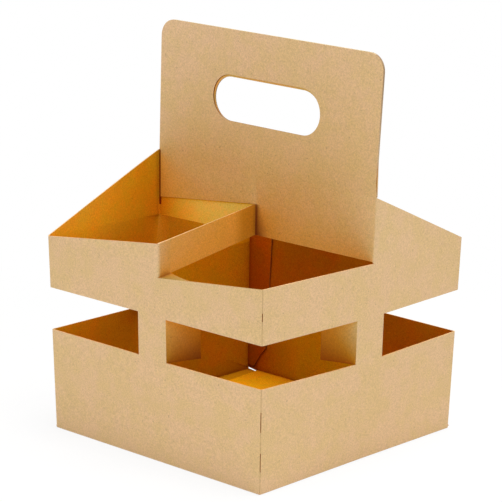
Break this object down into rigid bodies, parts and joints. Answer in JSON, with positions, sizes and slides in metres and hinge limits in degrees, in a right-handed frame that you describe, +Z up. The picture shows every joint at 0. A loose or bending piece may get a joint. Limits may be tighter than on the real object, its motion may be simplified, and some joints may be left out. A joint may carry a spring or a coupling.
{
  "type": "cardboard cup carrier",
  "caption": "Square tray for cups, folded from one sheet of kraft board, with windows at the corners and an upright central handle with a hand hole.",
  "frame": {"origin": "middle of the bottom, on the surface that the carrier stands on", "axes": "+X along the handle, +Y across it towards the rear side wall, +Z up"},
  "size_m": [0.2185, 0.2082, 0.288],
  "materials": {
    "kraft_board": "matt"
  },
  "bodies": {
    "root": {"carrier": "kraft_board"}
  },
  "joints": []
}
